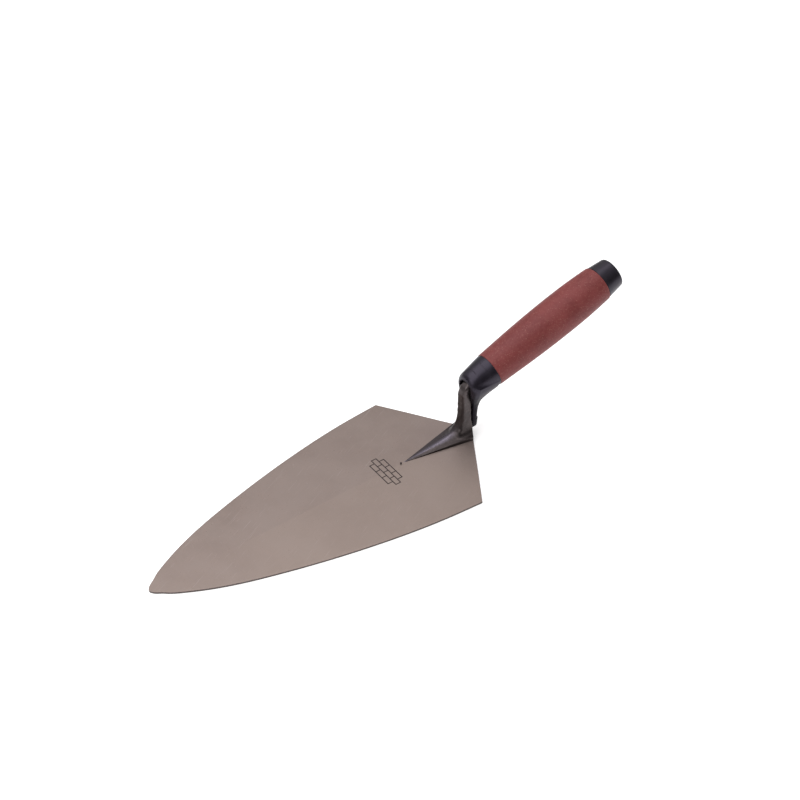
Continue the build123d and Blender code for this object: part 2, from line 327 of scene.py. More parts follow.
def edge_curve(points, count):
    p = np.array(points, float)
    t = np.concatenate([[0], np.cumsum(np.linalg.norm(np.diff(p, axis=0), axis=1))])
    n, h = len(t), np.diff(t)
    A, R = np.zeros((n, n)), np.zeros((n, 2))
    A[0, 0] = A[-1, -1] = 1
    for i in range(1, n - 1):
        A[i, i - 1], A[i, i], A[i, i + 1] = h[i - 1], 2 * (h[i - 1] + h[i]), h[i]
        R[i] = 3 * ((p[i + 1] - p[i]) / h[i] - (p[i] - p[i - 1]) / h[i - 1])
    c = np.linalg.solve(A, R)
    u = np.linspace(0, t[-1], count)
    k = np.clip(np.searchsorted(t, u, side="right") - 1, 0, n - 2)
    d = (u - t[k])[:, None]
    b = (p[k + 1] - p[k]) / h[k][:, None] - h[k][:, None] * (2 * c[k] + c[k + 1]) / 3
    return p[k] + b * d + c[k] * d ** 2 + (c[k + 1] - c[k]) / (3 * h[k][:, None]) * d ** 3


def make_plate():
    pts = [(d, w) for d, w in reversed(EDGE)] + [(d, -w) for d, w in EDGE[1:]]
    dense = edge_curve(pts, 4001)[:2001][::-1]               # from the point to the far shoulder
    dense[0] = (0, 0)
    s = np.concatenate([[0], np.cumsum(np.linalg.norm(np.diff(dense, axis=0), axis=1))])
    want, step = [0.0], 0.30
    while want[-1] + step < s[-1] - 0.5:
        want.append(want[-1] + step)
        step = min(1.5, step * 1.06)
    want.append(s[-1])
    edge = np.stack([np.interp(want, s, dense[:, 0]), np.interp(want, s, dense[:, 1])], 1)
    edge[-1] = (SHOULDER, BLADE_W)
    back = np.linspace(0, 1, 60)[1:, None]
    line = (1 - back) * [[SHOULDER, BLADE_W]] + back * [[BLADE_L, 0.0]]
    sag = 0.22 * rise(back[:, 0], 0.35, 0.75) * (1 - rise(back[:, 0], 0.93, 1.0))
    line -= sag[:, None] * np.array([[BLADE_W, BLADE_L - SHOULDER]]) / math.hypot(BLADE_W, BLADE_L - SHOULDER)
    edge = np.concatenate([edge, line])
    n = len(edge)
    seg = np.diff(edge, axis=0)
    seg /= np.linalg.norm(seg, axis=1)[:, None]
    normal = np.zeros_like(edge)
    for i in range(1, n - 1):
        a = np.array([-seg[i - 1][1], seg[i - 1][0]])
        b = np.array([-seg[i][1], seg[i][0]])
        mid = (a + b) / np.linalg.norm(a + b)
        normal[i] = mid / max(0.6, float(mid @ a))
    normal[0] = (-1, 0)
    normal[-1] = (1.18, 0)
    m = 26
    k = np.linspace(-1, 1, 2 * m + 1)
    across = np.sign(k) * np.abs(k) ** 1.5
    verts, faces, mats = [], [], []

    def add(d, y, z):
        verts.append((X(d), y, z))
        return len(verts) - 1

    # inset from the edge, drop from the face, and whether it is measured from the top face
    profile = [(0.34, 0.0, 1), (0.10, 0.01, 1), (0.03, 0.05, 1), (0.0, 0.15, 1),
               (0.0, 0.14, 0), (0.04, 0.05, 0), (0.12, 0.01, 0), (0.34, 0.0, 0)]
    inner = edge - 0.34 * normal
    top, bottom = [], []
    for i in range(n):
        if i in (0, n - 1):
            top.append([add(inner[i][0], 0, float(top_z(inner[i][0], 0)))] * (2 * m + 1))
            bottom.append([add(inner[i][0], 0, 0)] * (2 * m + 1))
            continue
        d, w = inner[i]
        top.append([add(d, q * w, float(top_z(d, q * w))) for q in across])
        bottom.append([add(d, q * w, 0) for q in across])
    for rows, flip in ((top, False), (bottom, True)):
        for i in range(n - 1):
            for j in range(2 * m):
                q = [rows[i][j], rows[i + 1][j], rows[i + 1][j + 1], rows[i][j + 1]]
                q = [v for a, v in enumerate(q) if v not in q[:a]]
                if len(q) > 2:
                    faces.append(tuple(reversed(q)) if flip else tuple(q))
                    mats.append(0)
    for side in (1, -1):
        rings = []
        for i in range(n):
            d, w = edge[i]
            zt = float(top_z(d, w))
            ring = []
            for o, h, is_top in profile:
                if o == 0.34:
                    ring.append((top if is_top else bottom)[i][-1 if side == 1 else 0])
                else:
                    p = edge[i] - o * normal[i]
                    ring.append(add(p[0], side * p[1], zt - h if is_top else h))
            rings.append(ring)
        for i in range(n - 1):
            for j in range(len(profile) - 1):
                q = [rings[i][j], rings[i + 1][j], rings[i + 1][j + 1], rings[i][j + 1]]
                faces.append(tuple(q) if side == 1 else tuple(reversed(q)))
                mats.append(1 if 1 <= j <= 5 else 0)
    return link_mesh("blade_plate", verts, faces, mats)


def make_motif_cutter():
    """Generic running-bond brick motif: three courses of outlined bricks."""
    c, b, w, mid = 4.2, 8.0, 0.80, 198.0
    bars = []
    for at, reach in ((-1.5, 1.5), (-0.5, 2.0), (0.5, 2.0), (1.5, 1.5)):
        for side in (1, -1):
            bars.append((mid + at * c - w / 2, mid + at * c + w / 2, 0.0, side * (reach * b + w / 2)))
    for course, joints in ((-1, (0.5, 1.5)), (0, (0, 1, 2)), (1, (0.5, 1.5))):
        for j in joints:
            for side in ((1, -1) if j else (1,)):
                y = side * j * b
                bars.append((mid + (course - 0.5) * c + w / 2 - 0.01, mid + (course + 0.5) * c - w / 2 + 0.01, y - w / 2, y + w / 2))
    verts, faces = [], []
    for d0, d1, ya, yb in bars:
        y0, y1 = min(ya, yb), max(ya, yb)
        base = len(verts)
        for deep in (True, False):
            for d, y in ((d0, y0), (d1, y0), (d1, y1), (d0, y1)):
                verts.append((X(d), y, float(top_z(d, y)) - 0.20 if deep else 4.0))
        faces += [tuple(base + i for i in q) for q in ((3, 2, 1, 0), (4, 5, 6, 7), (0, 1, 5, 4), (1, 2, 6, 5), (2, 3, 7, 6), (3, 0, 4, 7))]
    # centre-punch dot just ahead of the heel
    cone, base = 14, len(verts)
    zt = float(top_z(211.9, 0))
    for r, z in ((0.12, zt - 0.42), (0.62, zt + 0.02), (0.75, zt + 1.0)):
        for i in range(cone):
            t = 2 * math.pi * i / cone
            verts.append((X(211.9) + r * math.cos(t), r * math.sin(t), z))
    for k in range(2):
        for i in range(cone):
            a, b2 = base + k * cone + i, base + k * cone + (i + 1) % cone
            faces.append((a, b2, b2 + cone, a + cone))
    faces.append(tuple(base + i for i in reversed(range(cone))))
    faces.append(tuple(base + 2 * cone + i for i in range(cone)))
    o = link_mesh("motif_cutter", verts, faces)
    return o


def engrave(obj, cutter):
    """Exact cut; the cut's own faces keep the cutter's material slot."""
    for i in range(4):
        if len(obj.data.materials) < i + 1:
            obj.data.materials.append(None)
        if len(cutter.data.materials) < i + 1:
            cutter.data.materials.append(None)
    cutter.data.polygons.foreach_set("material_index", [3] * len(cutter.data.polygons))
    bpy.context.view_layer.update()
    mod = obj.modifiers.new("engrave", "BOOLEAN")
    mod.operation = "DIFFERENCE"
    mod.solver = "EXACT"
    mod.material_mode = "INDEX"
    mod.object = cutter
    mod.use_self = True
    mesh = bpy.data.meshes.new_from_object(obj.evaluated_get(bpy.context.evaluated_depsgraph_get()))
    obj.modifiers.clear()
    obj.data = mesh
    bpy.data.objects.remove(cutter)
    return obj


# ------------------------------------------------------------------ forged heel, shank, bend and tang
HEEL = [(212.8, 1.9, 1.9), (218.0, 2.2, 2.35), (224.0, 2.5, 2.85), (232.0, 2.9, 3.5), (241.0, 3.35, 4.3),
        (250.0, 3.8, 5.4), (257.0, 4.15, 6.7), (262.5, 4.45, 8.3), (268.0, 4.7, 9.8), (274.0, 4.9, 9.8),
        (280.5, 5.0, 8.6)]
SHANK = [(2.0, 261.9, 277.8, 5.9, 2.6), (8.6, 263.0, 277.3, 5.4, 2.5), (11.5, 264.8, 276.8, 4.9, 2.4),
         (15.0, 266.0, 276.4, 4.5, 2.3), (20.0, 266.8, 276.3, 4.3, 2.3), (30.0, 267.3, 276.2, 4.15, 2.3),
         (60.0, 267.4, 276.2, 4.15, 2.3)]
BEND_R, TANG_LIFT, MID_D = 7.4, 0.6, 271.8
CROSS_Z = TANG_LIFT + FRONT_Z + (MID_D - FRONT_D) * math.tan(PITCH)
BEND_Z = CROSS_Z - BEND_R * math.tan((math.pi / 2 - PITCH) / 2)
STUB = 30.0
V_N = np.array([BLADE_W, BLADE_L - SHOULDER]) / math.hypot(BLADE_W, BLADE_L - SHOULDER)


def shank_field(d, y, z, grow=0.0):
    """Upright shank, tight bend, and the stub of the tang that runs into the handle."""
    front, rear, half, corner = table(SHANK, z)
    a = rounded_box(d - (front + rear) / 2, y, (rear - front) / 2 + grow, half + grow, corner)
    cd, cz = MID_D + BEND_R, BEND_Z
    rd, rz = d - cd, z - cz
    rho = np.hypot(rd, rz)
    b = rounded_box(rho - BEND_R, y, 4.45 + grow, 4.15 + grow, 2.3)
    s = rd * CP + rz * SP                                  # along the tang from the bend's end
    u = -rd * SP + rz * CP - BEND_R                        # across it
    thin = np.clip(s, 0, 80) * 0.02
    c = rounded_box(u + np.clip(s, 0, 80) * 0.012, y, 4.45 + grow - thin, 4.15 + grow - thin, 2.2)
    c = np.maximum(c, s - STUB)
    in_tang = s > 0
    in_bend = (~in_tang) & (rz > 0)
    return np.where(in_tang & (u > -BEND_R - 4), c, np.where(in_bend & (rd < 6), b, np.where(rz > 0, np.maximum(a, rz), a)))


def forged_field(x, y, z):
    d = x - TIP_X
    w = 11.8 * (d - 212.8) / (271.9 - 212.8)
    wall, crest = table(HEEL, d)
    q = y / np.maximum(w, 0.6)
    ridge = 0.70 * np.exp(-(q / 0.46) ** 2) + 0.30 * np.exp(-(q / 0.80) ** 2) - 0.06
    height = wall + (crest - wall) * ridge / 0.94
    slope = np.sqrt(1 + ((crest - wall) * 1.2 / np.maximum(w, 2.0)) ** 2)
    over = (z - height) / slope
    side = (np.abs(y) - (w - 0.10 * np.maximum(z - 1.0, 0))) * 0.99
    heel = smax(over, side, 0.35)
    shank = shank_field(d, y, z)
    f = smin(heel, shank, 3.4)
    f = smax(f, (d - BLADE_L) * V_N[0] + np.abs(y) * V_N[1] + 0.12 + 0.4 * rise(z, 3.0, 12.0), 0.5)
    # left rough from the hammer: very slight swells on the shank, none on the polished crest
    rough = rise(z, 9, 15) * (1 - rise(z, 50, 55))
    f = f + 0.11 * rough * (np.sin(0.55 * z + 0.9 * y) * np.sin(0.31 * z - 0.8 * d + 1.3) + 0.6 * np.sin(1.13 * z + 2.1))
    return smax(f, 0.45 - z, 0.2)


def make_forging():
    low = (X(212.0), -14.0, 0.1)
    high = (X(MID_D + BEND_R) + STUB * CP + 8, 14.0, 70.0)
    return skin("forged_heel_and_shank", forged_field, low, high, 0.42)


# ------------------------------------------------------------------ handle core: collar, hood, finger guard, seat and spigot
COLLAR = [(-40.0, 8.7), (-32.0, 9.60), (-20.0, 11.00), (-13.0, 11.90), (-6.0, 12.80), (0.0, 13.45)]
GRIP = [(0.0, 13.70), (15.0, 14.45), (30.0, 15.14), (45.0, 15.65), (60.0, 15.93), (72.0, 16.00),
        (84.0, 15.85), (95.0, 15.46), (103.0, 15.02), (110.6, 14.50)]
SLEEVE_WALL = 2.6
ARCH_Z = 45.7
# height: outer half width, inner half width, front of the rim, depth of the rim's bevel
WALLS = [(6.0, 3.6, 3.0, 276.9, 0.9), (9.2, 4.2, 3.4, 276.5, 1.2), (14.0, 4.8, 3.8, 276.4, 1.6),
         (20.0, 5.15, 4.2, 276.4, 2.0), (26.0, 5.9, 4.8, 276.3, 2.3), (31.0, 7.1, 5.4, 275.3, 2.4),
         (36.0, 8.9, 6.1, 273.4, 2.4), (40.0, 10.05, 6.4, 272.4, 2.5), (45.7, 10.85, 6.5, 272.0, 2.7),
         (70.0, 10.85, 6.5, 272.0, 2.7)]
# finger side of the guard, radius about its pivot (303, 15) against the angle
FINGER = [(-40.0, 20.5), (0.0, 21.3), (14.0, 21.9), (30.0, 23.8), (44.0, 26.0), (58.0, 27.1), (71.9, 27.9), (100.0, 28.8)]


def core_field(x, y, z):
    d = x - TIP_X
    s = (d - FRONT_D) * CP + (z - FRONT_Z) * SP
    u = -(d - FRONT_D) * SP + (z - FRONT_Z) * CP
    rho = np.hypot(u, y)
    if d.min() > 312.0:                                    # behind the hood only the seat and the spigot are left
        return np.minimum(np.maximum(rho - (table(GRIP, s)[0] - SLEEVE_WALL - 0.05), s - SLEEVE_L),
                          np.maximum(rho - 8.0, s - SLEEVE_L - 10.5))
    collar = smax(rho - table(COLLAR, s)[0], s, 0.3)
    seat = np.maximum(rho - (table(GRIP, s)[0] - SLEEVE_WALL - 0.05), np.maximum(s - SLEEVE_L, -4 - s))
    spigot = np.maximum(rho - 8.0, np.maximum(s - SLEEVE_L - 10.5, -4 - s))
    outer, inner, front, bevel = table(WALLS, z)
    # finger guard and the skirt of the hood above it
    pd, pz = 303.0 - d, z - 15.0
    ang = np.degrees(np.arctan2(pz, np.maximum(pd, 1e-3)))
    finger = table(FINGER, ang)[0] - np.hypot(pd, pz)
    straight = d - (282.3 - 0.06 * (14.0 - z))
    finger = np.where(z > 15.0, finger, straight)
    skirt = smax(np.abs(y) - outer, finger, np.clip(0.98 * (outer - 1.5), 1.6, 9.2))
    skirt = np.maximum(skirt, s + 7.0 + 0.35 * np.maximum(-u, 0) - 4)
    tip = 5.0 - z + 0.05 * y * y
    skirt = smax(skirt, tip, 2.4)
    skirt = np.maximum(skirt, z - 47.5)
    body = smin(collar, skirt, 1.0 + 3.6 * rise(np.abs(y), 4.0, 9.0))
    # rim around the mouth: an arch that runs down into the guard's front edges
    r = np.hypot(y, np.maximum(z - ARCH_Z, 0))
    e = np.clip((r - inner) / np.maximum(outer - inner, 0.5), 0, 1.5)
    rim = (front + bevel * e ** 2.35 - d) / 1.3
    body = smax(body, rim, 0.16)
    depth = 276.3 + 4.6 * rise(z, 33, 40)
    pocket = np.maximum(r - inner, d - depth)
    pocket = np.maximum(pocket, 30.0 - z)
    body = smax(body, -pocket, 0.35)
    body = np.minimum(body, np.minimum(seat, spigot))
    return np.maximum(body, 0.06 - shank_field(d, y, z))


def make_core():
    low = (X(270.5), -15.0, 4.0)
    high = (X(414.5), 15.0, 100.0)
    return skin("handle_core_moulding", core_field, low, high, 0.42)


def witness_cutter():
    """Mould witness lines on the collar: a short arc and a short line meeting the sleeve."""
    verts, faces = [], []

    def strip(rows):
        base = len(verts)
        for row in rows:
            verts.extend(row)
        k = len(rows)
        for i in range(k - 1):
            for j in range(4):
                a, b = base + 4 * i + j, base + 4 * i + (j + 1) % 4
                faces.append((a, b, b + 4, a + 4))
        faces.append(tuple(base + j for j in reversed(range(4))))
        faces.append(tuple(base + 4 * (k - 1) + j for j in range(4)))

    def at(s, phi, r):
        p = on_axis(s, r * math.cos(phi))
        return (p[0], -r * math.sin(phi), p[2])

    rows = []
    for k in range(33):
        phi = math.radians(2 + 42 * k / 32)
        rows.append([at(-6.11, phi, 12.66), at(-5.89, phi, 12.66), at(-5.89, phi, 13.6), at(-6.11, phi, 13.6)])
    strip(rows)
    rows = []
    for k in range(9):
        s = -6.0 + 5.6 * k / 8
        r = 12.66 + (s + 6) * 0.108
        rows.append([at(s, math.radians(2) - 0.11 / r, r), at(s, math.radians(2) + 0.11 / r, r),
                     at(s, math.radians(2) + 0.11 / r, 14.2), at(s, math.radians(2) - 0.11 / r, 14.2)])
    strip(rows)
    return link_mesh("witness_cutter", verts, faces)


# ------------------------------------------------------------------ turned pieces
def revolve(name, profile, segments=256):
    """Closed ring of a profile (s, r) about the handle's axis; a point with r = 0 is a pole."""
    verts, faces, rows = [], [], []
    for s, r in profile:
        if r <= 1e-6:
            rows.append([len(verts)] * segments)
            verts.append(tuple(on_axis(s)))
        else:
            row = []
            for i in range(segments):
                t = 2 * math.pi * i / segments
                p = on_axis(s, r * math.cos(t))
                row.append(len(verts))
                verts.append((p[0], r * math.sin(t), p[2]))
            rows.append(row)
    pairs = list(zip(rows[:-1], rows[1:]))
    if profile[0][1] > 1e-6 and profile[-1][1] > 1e-6:
        pairs.append((rows[-1], rows[0]))
    for a, b in pairs:
        for i in range(segments):
            j = (i + 1) % segments
            q = [a[i], a[j], b[j], b[i]]
            q = [v for k, v in enumerate(q) if v not in q[:k]]
            if len(q) > 2:
                faces.append(tuple(q))
    return link_mesh(name, verts, faces)


def arc(cs, cr, radius, a0, a1, n=8):
    return [(cs + radius * math.cos(math.radians(a0 + (a1 - a0) * k / n)),
             cr + radius * math.sin(math.radians(a0 + (a1 - a0) * k / n))) for k in range(n + 1)]


def make_grip():
    s = np.linspace(0.55, 109.7, 150)
    outer = [(a, b) for a, b in zip(s, table(GRIP, s)[0])]
    r0, r1 = outer[0][1], outer[-1][1]
    lip = [(0.0, r0 - 0.62)] + arc(0.45, r0 - 0.46, 0.45, 176, 96, 6)
    rear = arc(109.85, r1 - 0.72, 0.70, 84, 4, 8) + [(110.6, r1 - 1.05)]
    inner_s = np.linspace(110.6, 0.0, 40)
    inner = [(a, b - SLEEVE_WALL) for a, b in zip(inner_s, table(GRIP, inner_s)[0])]
    return revolve("rubber_grip", lip + outer + rear + inner, 320)


def gate_cutter():
    """Shallow ring left by the moulding gate near the butt end."""
    verts, faces = [], []
    n, phi = 40, math.radians(10.3)
    centre_s, r = 103.8, 15.0
    base = on_axis(centre_s, r * math.cos(phi))
    centre = np.array([base[0], -r * math.sin(phi), base[2]])
    out = np.array([-SP * math.cos(phi), -math.sin(phi), CP * math.cos(phi)])
    along = np.array([CP, 0, SP])
    side = np.cross(out, along)
    for rad, h in ((1.25, -0.22), (1.8, -0.22), (1.8, 1.2), (1.25, 1.2)):
        for i in range(n):
            t = 2 * math.pi * i / n
            verts.append(tuple(centre + out * h + (along * math.cos(t) + side * math.sin(t)) * rad))
    for k in range(4):
        for i in range(n):
            a, b = k * n + i, k * n + (i + 1) % n
            c = ((k + 1) % 4) * n
            faces.append((a, b, c + (i + 1) % n, c + i))
    return link_mesh("gate_cutter", verts, faces)


def make_cap():
    s0, s1 = SLEEVE_L + 0.12, SLEEVE_L + CAP_L
    slope = (CAP_END_R - CAP_FRONT_R) / CAP_L
    front = arc(s0 + 0.35, CAP_FRONT_R - 0.22, 0.35, 178, 100, 6)
    wall = [(s, CAP_FRONT_R + 0.14 * (1 - (s - SLEEVE_L) / CAP_L) + slope * (s - SLEEVE_L)) for s in np.linspace(s0 + 0.6, s1 - 1.3, 24)]
    end = arc(s1 - 1.15, CAP_END_R - 1.12, 1.15, 86, 2, 10)
    face = [(s1 + 0.0, 11.0), (s1, 9.0), (s1, 7.2)] + [(s1 - 0.12, 6.9), (s1 - 0.3, 6.6), (s1 - 0.35, 6.2), (s1 - 0.35, 3.0), (s1 - 0.35, 0.0)]
    inner = [(s0, 0.0), (s0, 7.9)]
    return revolve("butt_cap", inner + [(s0, 12.6)] + front + wall + end + face, 256)


# ------------------------------------------------------------------ materials
def new_material(name):
    mat = bpy.data.materials.new(name)
    mat.use_nodes = True
    nt = mat.node_tree
    return mat, nt, nt.nodes["Principled BSDF"]


class Graph:
    """Short names for the node types used below; positions are in millimetres of the tool's frame."""

    def __init__(self, nt):
        self.nt = nt
        tc = nt.nodes.new("ShaderNodeTexCoord")
        self.pos = tc.outputs["Object"]
        m = nt.nodes.new("ShaderNodeVectorMath")
        m.operation = "SCALE"
        m.inputs["Scale"].default_value = 1000.0
        nt.links.new(self.pos, m.inputs[0])
        self.mm = m.outputs[0]

    def link(self, a, b):
        self.nt.links.new(a, b)

    def put(self, socket, v):
        if isinstance(v, (int, float)):
            socket.default_value = v
        elif isinstance(v, tuple):
            socket.default_value = v if len(v) == len(socket.default_value) else (*v, 1.0)
        else:
            self.link(v, socket)

    def math(self, op, a, b=0.0, c=None, clamp=False):
        n = self.nt.nodes.new("ShaderNodeMath")
        n.operation = op
        n.use_clamp = clamp
        self.put(n.inputs[0], a)
        self.put(n.inputs[1], b)
        if c is not None:
            self.put(n.inputs[2], c)
        return n.outputs[0]

    def xyz(self, vector):
        n = self.nt.nodes.new("ShaderNodeSeparateXYZ")
        self.link(vector, n.inputs[0])
        return n.outputs[0], n.outputs[1], n.outputs[2]

    def vec(self, x, y, z):
        n = self.nt.nodes.new("ShaderNodeCombineXYZ")
        for s, v in zip(n.inputs, (x, y, z)):
            self.put(s, v)
        return n.outputs[0]

    def noise(self, vector, scale, detail=3.0, rough=0.5, distortion=0.0):
        n = self.nt.nodes.new("ShaderNodeTexNoise")
        self.link(vector, n.inputs["Vector"])
        n.inputs["Scale"].default_value = scale
        n.inputs["Detail"].default_value = detail
        n.inputs["Roughness"].default_value = rough
        n.inputs["Distortion"].default_value = distortion
        return n.outputs["Fac"]

    def voronoi(self, vector, scale, feature="F1", output="Distance", randomness=1.0):
        n = self.nt.nodes.new("ShaderNodeTexVoronoi")
        n.feature = feature
        self.link(vector, n.inputs["Vector"])
        n.inputs["Scale"].default_value = scale
        n.inputs["Randomness"].default_value = randomness
        return n.outputs[output]

    def ramp(self, value, a, b, low=0.0, high=1.0, smooth=True):
        n = self.nt.nodes.new("ShaderNodeMapRange")
        n.interpolation_type = "SMOOTHSTEP" if smooth else "LINEAR"
        n.clamp = True
        self.link(value, n.inputs["Value"])
        for k, v in zip(("From Min", "From Max", "To Min", "To Max"), (a, b, low, high)):
            n.inputs[k].default_value = v
        return n.outputs["Result"]

    def mix(self, fac, a, b, mode="MIX"):
        n = self.nt.nodes.new("ShaderNodeMix")
        n.data_type = "RGBA"
        n.blend_type = mode
        self.put(n.inputs["Factor"], fac)
        self.put(n.inputs["A"], a)
        self.put(n.inputs["B"], b)
        return n.outputs["Result"]

    def bump(self, height, distance, strength=1.0, normal=None):
        n = self.nt.nodes.new("ShaderNodeBump")
        n.inputs["Distance"].default_value = distance
        n.inputs["Strength"].default_value = strength
        self.link(height, n.inputs["Height"])
        if normal is not None:
            self.link(normal, n.inputs["Normal"])
        return n.outputs["Normal"]


def ground_steel(name="ground_steel"):
    mat, nt, b = new_material(name)
    g = Graph(nt)
    x, y, z = g.xyz(g.mm)
    # belt-ground lines run across the blade; broad clouds and small specks lie over them
    lines = g.noise(g.vec(g.math("MULTIPLY", x, 2.6), g.math("MULTIPLY", y, 0.05), z), 1.0, 4.0, 0.65)
    fine = g.noise(g.vec(g.math("MULTIPLY", x, 6.5), g.math("MULTIPLY", y, 0.09), z), 1.0, 2.0, 0.6)
    cloud = g.noise(g.mm, 0.022, 4.0, 0.55, 0.4)
    blotch = g.noise(g.mm, 0.11, 5.0, 0.6, 0.6)
    speck = g.noise(g.mm, 1.25, 2.0, 0.5)
    speck_on = g.math("MULTIPLY", g.ramp(speck, 0.66, 0.74), g.ramp(blotch, 0.42, 0.62))
    pale_on = g.ramp(g.noise(g.mm, 0.9, 2.0, 0.5, 0.3), 0.69, 0.76)
    # long stray scratches
    rot = g.vec(g.math("ADD", g.math("MULTIPLY", x, 0.9), g.math("MULTIPLY", y, 0.43)),
                g.math("SUBTRACT", g.math("MULTIPLY", y, 0.9), g.math("MULTIPLY", x, 0.43)), z)
    rx, ry, rz = g.xyz(rot)
    scratch = g.ramp(g.noise(g.vec(g.math("MULTIPLY", rx, 0.055), g.math("MULTIPLY", ry, 1.7), rz), 1.0, 1.0, 0.5), 0.705, 0.74)
    base = g.mix(g.ramp(cloud, 0.30, 0.70), (0.282, 0.222, 0.197), (0.320, 0.258, 0.232))
    base = g.mix(g.ramp(blotch, 0.35, 0.75, 0.0, 0.35), base, (0.335, 0.262, 0.232))
    base = g.mix(g.ramp(lines, 0.25, 0.75, 0.0, 0.20), base, (0.375, 0.318, 0.300))
    base = g.mix(g.math("MULTIPLY", speck_on, 0.80), base, (0.15, 0.108, 0.100))
    base = g.mix(g.math("MULTIPLY", pale_on, 0.35), base, (0.45, 0.40, 0.385))
    base = g.mix(g.math("MULTIPLY", scratch, 0.28), base, (0.47, 0.41, 0.39))
    # painted highlight: the near flat is painted a touch brighter than the far one, up to the spine, where it catches
    # more reflected light
    half = g.math("MULTIPLY", g.ramp(y, 0.35, -0.35), g.ramp(g.math("SUBTRACT", x, TIP_X), 35.0, 95.0))
    base = g.mix(g.math("MULTIPLY", half, 0.28), base, (0.360, 0.288, 0.250))
    # heat tint close to the forging
    dx = g.math("SUBTRACT", x, (262.0 + TIP_X))
    near = g.math("SQRT", g.math("ADD", g.math("MULTIPLY", dx, dx), g.math("MULTIPLY", y, y)))
    tint = g.math("MULTIPLY", g.ramp(near, 46.0, 12.0), g.ramp(cloud, 0.2, 0.8, 0.55, 1.0))
    base = g.mix(g.math("MULTIPLY", tint, 0.22), base, (0.270, 0.220, 0.226))
    g.link(base, b.inputs["Base Color"])
    b.inputs["Metallic"].default_value = 0.86
    rough = g.ramp(cloud, 0.2, 0.8, 0.44, 0.52)
    rough = g.math("ADD", rough, g.ramp(lines, 0.2, 0.8, -0.03, 0.05))
    rough = g.math("ADD", rough, g.math("MULTIPLY", speck_on, 0.12))
    g.link(rough, b.inputs["Roughness"])
    h = g.math("ADD", g.math("MULTIPLY", lines, 0.6), g.math("MULTIPLY", fine, 0.4))
    h = g.math("SUBTRACT", h, g.math("MULTIPLY", speck_on, 0.35))
    h = g.math("SUBTRACT", h, g.math("MULTIPLY", scratch, 0.3))
    g.link(g.bump(h, 0.00002, 0.55), b.inputs["Normal"])
    return mat


def edge_steel():
    """The thin edge of the blade, darker than its faces."""
    mat, nt, b = new_material("blade_edge_steel")
    g = Graph(nt)
    n = g.noise(g.mm, 0.9, 4.0, 0.6)
    g.link(g.mix(g.ramp(n, 0.3, 0.7), (0.055, 0.042, 0.040), (0.14, 0.112, 0.105)), b.inputs["Base Color"])
    b.inputs["Metallic"].default_value = 0.75
    g.link(g.ramp(n, 0.2, 0.8, 0.36, 0.60), b.inputs["Roughness"])
    g.link(g.bump(n, 0.00004, 0.6), b.inputs["Normal"])
    return mat


def stamped_steel():
    mat, nt, b = new_material("stamped_line_steel")
    g = Graph(nt)
    n = g.noise(g.mm, 2.2, 3.0, 0.6)
    g.link(g.mix(g.ramp(n, 0.3, 0.7), (0.024, 0.018, 0.018), (0.075, 0.058, 0.055)), b.inputs["Base Color"])
    b.inputs["Metallic"].default_value = 0.4
    g.link(g.ramp(n, 0.2, 0.8, 0.5, 0.75), b.inputs["Roughness"])
    g.link(g.bump(n, 0.00003, 0.5), b.inputs["Normal"])
    return mat


